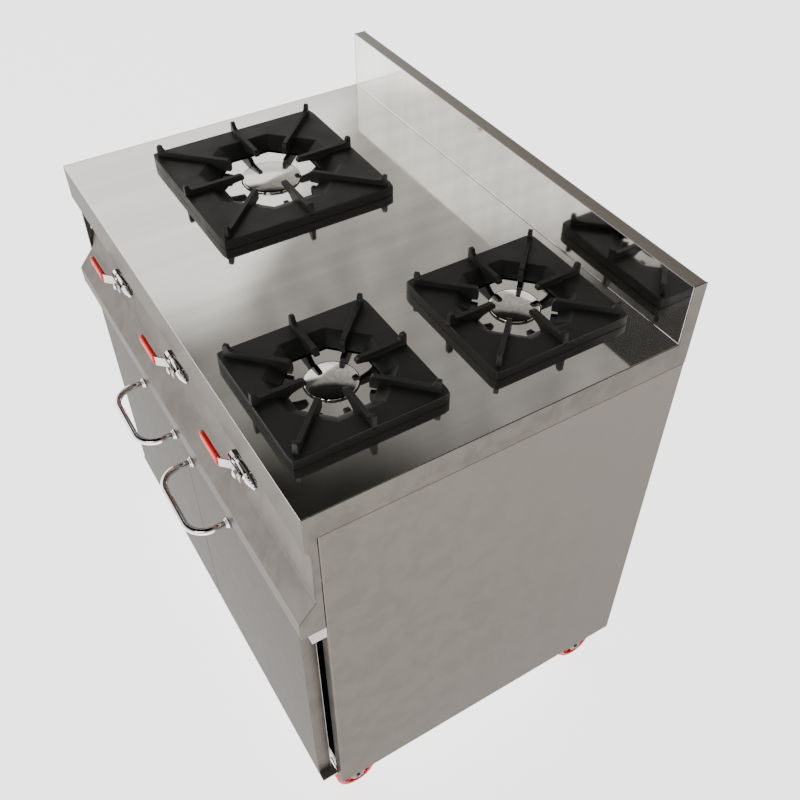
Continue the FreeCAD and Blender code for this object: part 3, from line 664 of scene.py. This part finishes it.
def cut_with(obj, cutters):
    """Cuts turned holes out of a finished mesh, once, before its modifiers."""
    cutter_mesh = bpy.data.meshes.new("cutter")
    bm = bmesh.new()
    for origin, axis, profile in cutters:
        lathe(bm, origin, axis, profile, 64)
    bmesh.ops.recalc_face_normals(bm, faces=bm.faces)
    bm.to_mesh(cutter_mesh)
    bm.free()
    cutter = bpy.data.objects.new("cutter", cutter_mesh)
    SCENE.collection.objects.link(cutter)
    plain = bpy.data.objects.new("plain", obj.data.copy())
    SCENE.collection.objects.link(plain)
    boolean = plain.modifiers.new("cut", "BOOLEAN")
    boolean.object = cutter
    boolean.solver = "EXACT"
    bpy.context.view_layer.update()
    mesh = bpy.data.meshes.new_from_object(plain.evaluated_get(bpy.context.evaluated_depsgraph_get()))
    bpy.data.objects.remove(plain)
    bpy.data.objects.remove(cutter)
    obj.data = mesh


def door_pan(side, sign):
    """Door skin: a pan with rolled front edges; the liner closes its back."""
    x0, x1, z0, z1 = 1.5, 418.5, 118.0, 600.0
    corner = 1.2
    # inset from the outline and depth of each row, in millimetres
    edge = [(1.2, 12.5), (0.0, 12.5), (0.0, -8.2), (0.14, -8.8), (0.5, -9.4), (1.1, -9.85), (1.8, -10.0)]
    rings = []
    for inset, depth in edge:
        left, right = x0 + inset + corner, x1 - inset - corner
        bottom, top = z0 + inset + corner, z1 - inset - corner
        points = []
        for turn, (x, z) in enumerate(((right, top), (left, top), (left, bottom), (right, bottom))):
            for k in range(5):
                t = math.pi / 2 * (turn + k / 4)
                across = sign * (x + corner * math.cos(t)) * MM
                points.append(Vector((across, row_y(depth), (z + corner * math.sin(t)) * MM)))
        rings.append(points)
    bm = bmesh.new()
    skin(bm, rings)
    obj = finish_piece(bm, "door_pan_" + side, "door_" + side, "panel_steel", ["door_skin_" + side])
    weigh(obj)


def worktop_piece():
    """Mirror sheet folded up at the rear, with a hole round each burner cap."""
    line = [(0.3, 849.25), (582.45, 849.25), (582.45, 948.8)]
    worktop = bent_sheet("worktop", line, -INNER, INNER, ["worktop_sheet"], "mirror_steel", radius=2.6)
    holes = []
    for x, depth, radius in BURNER_HOLES:
        holes.append(((x, row_y(depth), 0.840), (0, 0, 1), [(0, radius), (20, radius)]))
    cut_with(worktop, holes)


def splash_piece():
    """Rim and rear of the splashback."""
    line = [(582.2, 949.25), (604.25, 949.25), (604.25, 802.75), (591, 802.75)]
    bent_sheet("splash_shell", line, -INNER, INNER, ["splashback_shell"], "brushed_steel", radius=2.6)


def valve_panel_piece():
    """Recess back, ledge and lip, with a hole for each gas branch and each burner pipe."""
    line = [(34.75, 848), (34.75, 784), (8.9, 673.4), (-19.25, 641.2), (-19.25, 609.25), (18.4, 609.25)]
    panel = bent_sheet("valve_panel", line, -INNER, INNER, ["control_panel"], "brushed_steel", radius=3.2)
    # the recess back, ledge and lip take the darker front copy of the steel: painted shade
    panel.data.materials[0] = FINISH["shaded_front_steel"]
    start = row_y(5)
    branches = [((stem, start, VALVE_Z - BRANCH_DROP), (0, 1, 0), [(0, 7), (40, 7)]) for stem in STEMS]
    pipes = [((stem + PIPE_ASIDE, start, VALVE_Z + PIPE_RISE), (0, 1, 0), [(0, 4.2), (40, 4.2)])
             for stem in STEMS]
    cut_with(panel, branches + pipes)


def side_piece(side, sign):
    """Side panel with a front return that stops below the recess."""
    wall, return_edge, front, rear = 449.25, 430.0, 19.35, 603.5
    line = [(sign * return_edge, front), (sign * wall, front), (sign * wall, rear)]
    panel = bent_sheet("side_" + side, line, 111.5, 805.4, ["side_panel_" + side], "panel_steel", along="Z")
    notch = [(0, 12.2), (240, 12.2)]
    cut_with(panel, [((sign * 0.4355, row_y(front), 0.607), (0, 0, 1), notch)])


worktop_piece()
splash_piece()
valve_panel_piece()
for side_name, side_sign in (("left", -1), ("right", 1)):
    side_piece(side_name, side_sign)
    door_pan(side_name, side_sign)


# ---------------------------------------------------------------- floor, light and camera
def emission_floor():
    """Plain pale floor that glows evenly, with only a trace of shadow."""
    bpy.ops.mesh.primitive_plane_add(size=40, location=(0, 0, -0.0005))
    floor = bpy.context.object
    floor.name = "floor"
    material = bpy.data.materials.new("floor_white")
    material.use_nodes = True
    tree = material.node_tree
    tree.nodes.remove(tree.nodes["Principled BSDF"])
    diffuse = tree.nodes.new("ShaderNodeBsdfDiffuse")
    diffuse.inputs["Color"].default_value = (0.8, 0.8, 0.8, 1)
    glow = tree.nodes.new("ShaderNodeEmission")
    glow.inputs["Color"].default_value = (1, 1, 1, 1)
    glow.inputs["Strength"].default_value = 2.6
    both = tree.nodes.new("ShaderNodeAddShader")
    tree.links.new(diffuse.outputs["BSDF"], both.inputs[0])
    tree.links.new(glow.outputs["Emission"], both.inputs[1])
    tree.links.new(both.outputs["Shader"], tree.nodes["Material Output"].inputs["Surface"])
    floor.data.materials.append(material)


def studio_world():
    """Bright wall to one side, warm grey streaked wall to the other, dark ceiling."""
    world = bpy.data.worlds.new("studio")
    SCENE.world = world
    world.use_nodes = True
    tree = world.node_tree
    back = tree.nodes["Background"]
    coords = tree.nodes.new("ShaderNodeTexCoord")
    split = tree.nodes.new("ShaderNodeSeparateXYZ")
    tree.links.new(coords.outputs["Generated"], split.inputs["Vector"])

    def banded(stops, factor):
        ramp = tree.nodes.new("ShaderNodeValToRGB")
        tree.links.new(factor, ramp.inputs["Fac"])
        elements = ramp.color_ramp.elements
        elements[0].position = stops[0][0]
        elements[1].position = stops[-1][0]
        for position, _ in stops[1:-1]:
            elements.new(position)
        for element, (_, level) in zip(elements, stops):
            element.color = (level * 1.02, level, level * 0.96, 1)
        return ramp.outputs["Color"]

    def mixed(factor, a, b, mode="MIX"):
        node = tree.nodes.new("ShaderNodeMix")
        node.data_type = "RGBA"
        node.blend_type = mode
        if isinstance(factor, float):
            node.inputs["Factor"].default_value = factor
        else:
            tree.links.new(factor, node.inputs["Factor"])
        tree.links.new(a, node.inputs["A"])
        tree.links.new(b, node.inputs["B"])
        return node.outputs["Result"]

    tilt = tree.nodes.new("ShaderNodeMath")
    tilt.operation = "MULTIPLY_ADD"
    tilt.inputs[1].default_value = -0.08
    tree.links.new(split.outputs["Y"], tilt.inputs[0])
    tree.links.new(split.outputs["Z"], tilt.inputs[2])
    lift = tilt.outputs["Value"]
    bright_levels = [(0.0, 0.75), (0.25, 0.60), (0.37, 0.45), (0.44, 0.85), (0.59, 0.80), (0.645, 0.04)]
    bright_levels += [(1.0, 0.0)]
    bright = banded(bright_levels, lift)
    dim_levels = [(0.0, 0.35), (0.36, 0.34), (0.55, 0.26), (0.69, 0.17), (0.74, 0.012), (1.0, 0.0)]
    dim = banded(dim_levels, lift)
    stretch = tree.nodes.new("ShaderNodeMapping")
    stretch.inputs["Scale"].default_value = (30, 30, 0.6)
    tree.links.new(coords.outputs["Generated"], stretch.inputs["Vector"])
    streak = tree.nodes.new("ShaderNodeTexNoise")
    streak.inputs["Scale"].default_value = 1.0
    streak.inputs["Detail"].default_value = 3
    tree.links.new(stretch.outputs["Vector"], streak.inputs["Vector"])
    streaks = banded([(0.35, 0.72), (0.65, 1.1)], streak.outputs["Fac"])
    dim = mixed(1.0, dim, streaks, "MULTIPLY")
    side = tree.nodes.new("ShaderNodeVectorMath")
    side.operation = "DOT_PRODUCT"
    side.inputs[1].default_value = (0.614, 0.597, 0.515)
    tree.links.new(coords.outputs["Generated"], side.inputs[0])
    edge = banded([(0.0, 0.0), (0.03, 1.0)], side.outputs["Value"])
    tree.links.new(mixed(edge, bright, dim), back.inputs["Color"])
    back.inputs["Strength"].default_value = 1.9


def soft_light(name, location, aim, size, power):
    """Rectangular area light aimed at a point."""
    data = bpy.data.lights.new(name, "AREA")
    data.shape = "RECTANGLE"
    data.size, data.size_y = size
    data.energy = power
    obj = bpy.data.objects.new(name, data)
    obj.location = location
    obj.rotation_euler = (Vector(aim) - Vector(location)).to_track_quat("-Z", "Y").to_euler()
    SCENE.collection.objects.link(obj)


CAMERA_PLACE = Vector((1.0674, -0.5078, 1.7012))
CAMERA_AIM = Vector((-0.60346, 0.36794, -0.70743))


def photo_camera():
    """Camera above the front right corner, looking down across the worktop."""
    data = bpy.data.cameras.new("photo_camera")
    data.sensor_width = 36
    data.lens = 41.9
    data.clip_start = 0.05
    camera = bpy.data.objects.new("photo_camera", data)
    camera.location = CAMERA_PLACE
    camera.rotation_euler = CAMERA_AIM.to_track_quat("-Z", "Y").to_euler()
    SCENE.collection.objects.link(camera)
    SCENE.camera = camera


emission_floor()
studio_world()
soft_light("key", (1.6, -2.2, 2.6), (0, 0, 0.6), (1.6, 1.6), 22)
soft_light("fill", (-2.6, -1.6, 1.6), (0, 0, 0.6), (1.6, 1.2), 9)
photo_camera()

bpy.context.view_layer.update()
